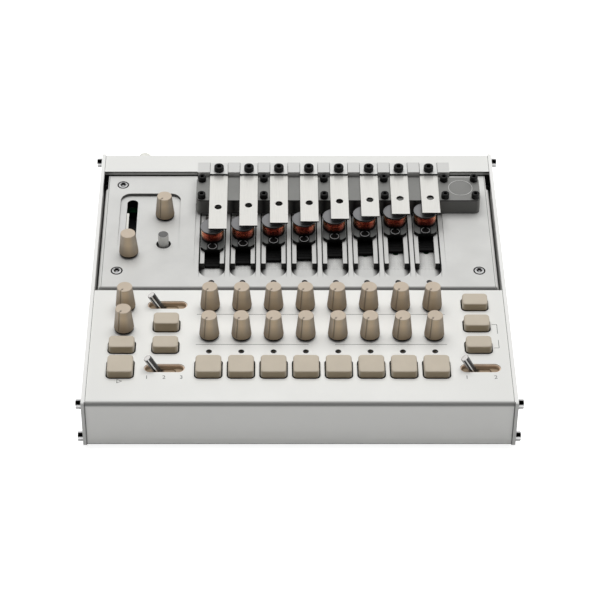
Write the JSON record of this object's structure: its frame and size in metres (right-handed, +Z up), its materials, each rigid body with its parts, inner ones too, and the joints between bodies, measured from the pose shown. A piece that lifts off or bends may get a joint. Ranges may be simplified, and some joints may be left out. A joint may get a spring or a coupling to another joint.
{
  "type": "hybrid synthesizer",
  "caption": "Flat desktop synthesizer: a panel of knobs, square buttons and toggles in front of a slotted deck where sliding coils sit under clamped steel reeds.",
  "frame": {"origin": "on the floor under the middle of the whole object, heads of the side screws and the rear knob included", "axes": "+X to the player's right, +Y away from the player towards the rear wall, +Z up"},
  "size_m": [0.231, 0.2244, 0.0456],
  "materials": {
    "shell": "satin off-white paint",
    "side": "satin white paint",
    "base": "matt grey paint",
    "rubber": "matt",
    "deck": "fine bead-blasted",
    "bridge": "anodised dark grey",
    "rail": "fine bead-blasted",
    "reed": "fine brushed",
    "trim": "glossy",
    "board": "matt",
    "socket": "satin",
    "screw": "black oxide",
    "carriage": "satin black",
    "knob": "matt beige",
    "button": "matt beige",
    "lever": "polished"
  },
  "bodies": {
    "housing": {"control_panel": "shell", "rear_shell": "shell", "side_plates": "side", "base_plate": "base", "rubber_feet": "rubber", "deck_plate": "deck", "resonator_bridge": "bridge", "clamp_rail": "rail", "resonators": "reed", "trim_inserts": "trim", "circuit_boards": "board", "rear_sockets": "socket", "fasteners": "screw"},
    "coil_carriage_1": {"coil_carriage_1": "carriage"},
    "coil_carriage_2": {"coil_carriage_2": "carriage"},
    "coil_carriage_3": {"coil_carriage_3": "carriage"},
    "coil_carriage_4": {"coil_carriage_4": "carriage"},
    "coil_carriage_5": {"coil_carriage_5": "carriage"},
    "coil_carriage_6": {"coil_carriage_6": "carriage"},
    "coil_carriage_7": {"coil_carriage_7": "carriage"},
    "coil_carriage_8": {"coil_carriage_8": "carriage"},
    "fader_cap": {"fader_cap": "knob"},
    "rear_toggle": {"rear_toggle": "lever"},
    "front_toggle": {"front_toggle": "lever"},
    "right_toggle": {"right_toggle": "lever"},
    "step_button_1": {"step_button_1": "button"},
    "step_button_2": {"step_button_2": "button"},
    "step_button_3": {"step_button_3": "button"},
    "step_button_4": {"step_button_4": "button"},
    "step_button_5": {"step_button_5": "button"},
    "step_button_6": {"step_button_6": "button"},
    "step_button_7": {"step_button_7": "button"},
    "step_button_8": {"step_button_8": "button"},
    "play_button": {"play_button": "button"},
    "left_button": {"left_button": "button"},
    "menu_button_1": {"menu_button_1": "button"},
    "menu_button_2": {"menu_button_2": "button"},
    "right_button_1": {"right_button_1": "button"},
    "right_button_2": {"right_button_2": "button"},
    "right_button_3": {"right_button_3": "button"},
    "front_knob_1": {"front_knob_1": "knob"},
    "front_knob_2": {"front_knob_2": "knob"},
    "front_knob_3": {"front_knob_3": "knob"},
    "front_knob_4": {"front_knob_4": "knob"},
    "front_knob_5": {"front_knob_5": "knob"},
    "front_knob_6": {"front_knob_6": "knob"},
    "front_knob_7": {"front_knob_7": "knob"},
    "front_knob_8": {"front_knob_8": "knob"},
    "rear_knob_1": {"rear_knob_1": "knob"},
    "rear_knob_2": {"rear_knob_2": "knob"},
    "rear_knob_3": {"rear_knob_3": "knob"},
    "rear_knob_4": {"rear_knob_4": "knob"},
    "rear_knob_5": {"rear_knob_5": "knob"},
    "rear_knob_6": {"rear_knob_6": "knob"},
    "rear_knob_7": {"rear_knob_7": "knob"},
    "rear_knob_8": {"rear_knob_8": "knob"},
    "left_front_knob": {"left_front_knob": "knob"},
    "left_rear_knob": {"left_rear_knob": "knob"},
    "deck_knob": {"deck_knob": "knob"},
    "rear_wall_knob": {"rear_wall_knob": "knob"}
  },
  "joints": [
    {"name": "coil_slide_1", "type": "slide", "parent": "housing", "child": "coil_carriage_1", "axis": [0, 1, 0], "range_m": [0, 0.01388]},
    {"name": "coil_slide_2", "type": "slide", "parent": "housing", "child": "coil_carriage_2", "axis": [0, 1, 0], "range_m": [-0.00266, 0.01122]},
    {"name": "coil_slide_3", "type": "slide", "parent": "housing", "child": "coil_carriage_3", "axis": [0, 1, 0], "range_m": [-0.00517, 0.00871]},
    {"name": "coil_slide_4", "type": "slide", "parent": "housing", "child": "coil_carriage_4", "axis": [0, 1, 0], "range_m": [-0.00637, 0.00751]},
    {"name": "coil_slide_5", "type": "slide", "parent": "housing", "child": "coil_carriage_5", "axis": [0, 1, 0], "range_m": [-0.00868, 0.00521]},
    {"name": "coil_slide_6", "type": "slide", "parent": "housing", "child": "coil_carriage_6", "axis": [0, 1, 0], "range_m": [-0.01085, 0.00303]},
    {"name": "coil_slide_7", "type": "slide", "parent": "housing", "child": "coil_carriage_7", "axis": [0, 1, 0], "range_m": [-0.0115, 0.00098]},
    {"name": "coil_slide_8", "type": "slide", "parent": "housing", "child": "coil_carriage_8", "axis": [0, 1, 0], "range_m": [-0.0115, 0]},
    {"name": "fader_slide", "type": "slide", "parent": "housing", "child": "fader_cap", "axis": [0, 1, 0], "range_m": [0, 0.045]},
    {"name": "rear_toggle_pivot", "type": "hinge", "parent": "housing", "child": "rear_toggle", "pos_m": [-0.0704, -0.0344, 0.022], "axis": [0, 1, 0], "range_deg": [0, 56.8]},
    {"name": "front_toggle_pivot", "type": "hinge", "parent": "housing", "child": "front_toggle", "pos_m": [-0.0704, -0.0844, 0.022], "axis": [0, 1, 0], "range_deg": [0, 56.8]},
    {"name": "right_toggle_pivot", "type": "hinge", "parent": "housing", "child": "right_toggle", "pos_m": [0.0946, -0.0844, 0.022], "axis": [0, 1, 0], "range_deg": [0, 56.8]},
    {"name": "step_button_1_press", "type": "slide", "parent": "housing", "child": "step_button_1", "axis": [0, 0, -1], "range_m": [0, 0.001], "stiffness_N_per_m": 500, "springref_m": -0.001},
    {"name": "step_button_2_press", "type": "slide", "parent": "housing", "child": "step_button_2", "axis": [0, 0, -1], "range_m": [0, 0.001], "stiffness_N_per_m": 500, "springref_m": -0.001},
    {"name": "step_button_3_press", "type": "slide", "parent": "housing", "child": "step_button_3", "axis": [0, 0, -1], "range_m": [0, 0.001], "stiffness_N_per_m": 500, "springref_m": -0.001},
    {"name": "step_button_4_press", "type": "slide", "parent": "housing", "child": "step_button_4", "axis": [0, 0, -1], "range_m": [0, 0.001], "stiffness_N_per_m": 500, "springref_m": -0.001},
    {"name": "step_button_5_press", "type": "slide", "parent": "housing", "child": "step_button_5", "axis": [0, 0, -1], "range_m": [0, 0.001], "stiffness_N_per_m": 500, "springref_m": -0.001},
    {"name": "step_button_6_press", "type": "slide", "parent": "housing", "child": "step_button_6", "axis": [0, 0, -1], "range_m": [0, 0.001], "stiffness_N_per_m": 500, "springref_m": -0.001},
    {"name": "step_button_7_press", "type": "slide", "parent": "housing", "child": "step_button_7", "axis": [0, 0, -1], "range_m": [0, 0.001], "stiffness_N_per_m": 500, "springref_m": -0.001},
    {"name": "step_button_8_press", "type": "slide", "parent": "housing", "child": "step_button_8", "axis": [0, 0, -1], "range_m": [0, 0.001], "stiffness_N_per_m": 500, "springref_m": -0.001},
    {"name": "play_button_press", "type": "slide", "parent": "housing", "child": "play_button", "axis": [0, 0, -1], "range_m": [0, 0.001], "stiffness_N_per_m": 500, "springref_m": -0.001},
    {"name": "left_button_press", "type": "slide", "parent": "housing", "child": "left_button", "axis": [0, 0, -1], "range_m": [0, 0.001], "stiffness_N_per_m": 500, "springref_m": -0.001},
    {"name": "menu_button_1_press", "type": "slide", "parent": "housing", "child": "menu_button_1", "axis": [0, 0, -1], "range_m": [0, 0.001], "stiffness_N_per_m": 500, "springref_m": -0.001},
    {"name": "menu_button_2_press", "type": "slide", "parent": "housing", "child": "menu_button_2", "axis": [0, 0, -1], "range_m": [0, 0.001], "stiffness_N_per_m": 500, "springref_m": -0.001},
    {"name": "right_button_1_press", "type": "slide", "parent": "housing", "child": "right_button_1", "axis": [0, 0, -1], "range_m": [0, 0.001], "stiffness_N_per_m": 500, "springref_m": -0.001},
    {"name": "right_button_2_press", "type": "slide", "parent": "housing", "child": "right_button_2", "axis": [0, 0, -1], "range_m": [0, 0.001], "stiffness_N_per_m": 500, "springref_m": -0.001},
    {"name": "right_button_3_press", "type": "slide", "parent": "housing", "child": "right_button_3", "axis": [0, 0, -1], "range_m": [0, 0.001], "stiffness_N_per_m": 500, "springref_m": -0.001},
    {"name": "front_knob_1_turn", "type": "hinge", "parent": "housing", "child": "front_knob_1", "pos_m": [-0.0474, -0.0592, 0.031], "axis": [0, 0, -1], "range_deg": [0, 300]},
    {"name": "front_knob_2_turn", "type": "hinge", "parent": "housing", "child": "front_knob_2", "pos_m": [-0.0304, -0.0592, 0.031], "axis": [0, 0, -1], "range_deg": [0, 300]},
    {"name": "front_knob_3_turn", "type": "hinge", "parent": "housing", "child": "front_knob_3", "pos_m": [-0.0134, -0.0592, 0.031], "axis": [0, 0, -1], "range_deg": [0, 300]},
    {"name": "front_knob_4_turn", "type": "hinge", "parent": "housing", "child": "front_knob_4", "pos_m": [0.0036, -0.0592, 0.031], "axis": [0, 0, -1], "range_deg": [0, 300]},
    {"name": "front_knob_5_turn", "type": "hinge", "parent": "housing", "child": "front_knob_5", "pos_m": [0.0206, -0.0592, 0.031], "axis": [0, 0, -1], "range_deg": [0, 300]},
    {"name": "front_knob_6_turn", "type": "hinge", "parent": "housing", "child": "front_knob_6", "pos_m": [0.0376, -0.0592, 0.031], "axis": [0, 0, -1], "range_deg": [0, 300]},
    {"name": "front_knob_7_turn", "type": "hinge", "parent": "housing", "child": "front_knob_7", "pos_m": [0.0546, -0.0592, 0.031], "axis": [0, 0, -1], "range_deg": [0, 300]},
    {"name": "front_knob_8_turn", "type": "hinge", "parent": "housing", "child": "front_knob_8", "pos_m": [0.0716, -0.0592, 0.031], "axis": [0, 0, -1], "range_deg": [0, 300]},
    {"name": "rear_knob_1_turn", "type": "hinge", "parent": "housing", "child": "rear_knob_1", "pos_m": [-0.0474, -0.0361, 0.031], "axis": [0, 0, -1], "range_deg": [0, 300]},
    {"name": "rear_knob_2_turn", "type": "hinge", "parent": "housing", "child": "rear_knob_2", "pos_m": [-0.0304, -0.0361, 0.031], "axis": [0, 0, -1], "range_deg": [0, 300]},
    {"name": "rear_knob_3_turn", "type": "hinge", "parent": "housing", "child": "rear_knob_3", "pos_m": [-0.0134, -0.0361, 0.031], "axis": [0, 0, -1], "range_deg": [0, 300]},
    {"name": "rear_knob_4_turn", "type": "hinge", "parent": "housing", "child": "rear_knob_4", "pos_m": [0.0036, -0.0361, 0.031], "axis": [0, 0, -1], "range_deg": [0, 300]},
    {"name": "rear_knob_5_turn", "type": "hinge", "parent": "housing", "child": "rear_knob_5", "pos_m": [0.0206, -0.0361, 0.031], "axis": [0, 0, -1], "range_deg": [0, 300]},
    {"name": "rear_knob_6_turn", "type": "hinge", "parent": "housing", "child": "rear_knob_6", "pos_m": [0.0376, -0.0361, 0.031], "axis": [0, 0, -1], "range_deg": [0, 300]},
    {"name": "rear_knob_7_turn", "type": "hinge", "parent": "housing", "child": "rear_knob_7", "pos_m": [0.0546, -0.0361, 0.031], "axis": [0, 0, -1], "range_deg": [0, 300]},
    {"name": "rear_knob_8_turn", "type": "hinge", "parent": "housing", "child": "rear_knob_8", "pos_m": [0.0716, -0.0361, 0.031], "axis": [0, 0, -1], "range_deg": [0, 300]},
    {"name": "left_front_knob_turn", "type": "hinge", "parent": "housing", "child": "left_front_knob", "pos_m": [-0.0928, -0.0539, 0.031], "axis": [0, 0, -1], "range_deg": [0, 300]},
    {"name": "left_rear_knob_turn", "type": "hinge", "parent": "housing", "child": "left_rear_knob", "pos_m": [-0.0928, -0.0363, 0.031], "axis": [0, 0, -1], "range_deg": [0, 300]},
    {"name": "deck_knob_turn", "type": "hinge", "parent": "housing", "child": "deck_knob", "pos_m": [-0.0746, 0.0466, 0.0267], "axis": [0, 0, -1], "range_deg": [0, 300]},
    {"name": "rear_wall_knob_turn", "type": "hinge", "parent": "housing", "child": "rear_wall_knob", "pos_m": [-0.0888, 0.0976, 0.0174], "axis": [0, -1, 0], "range_deg": [0, 300]}
  ]
}
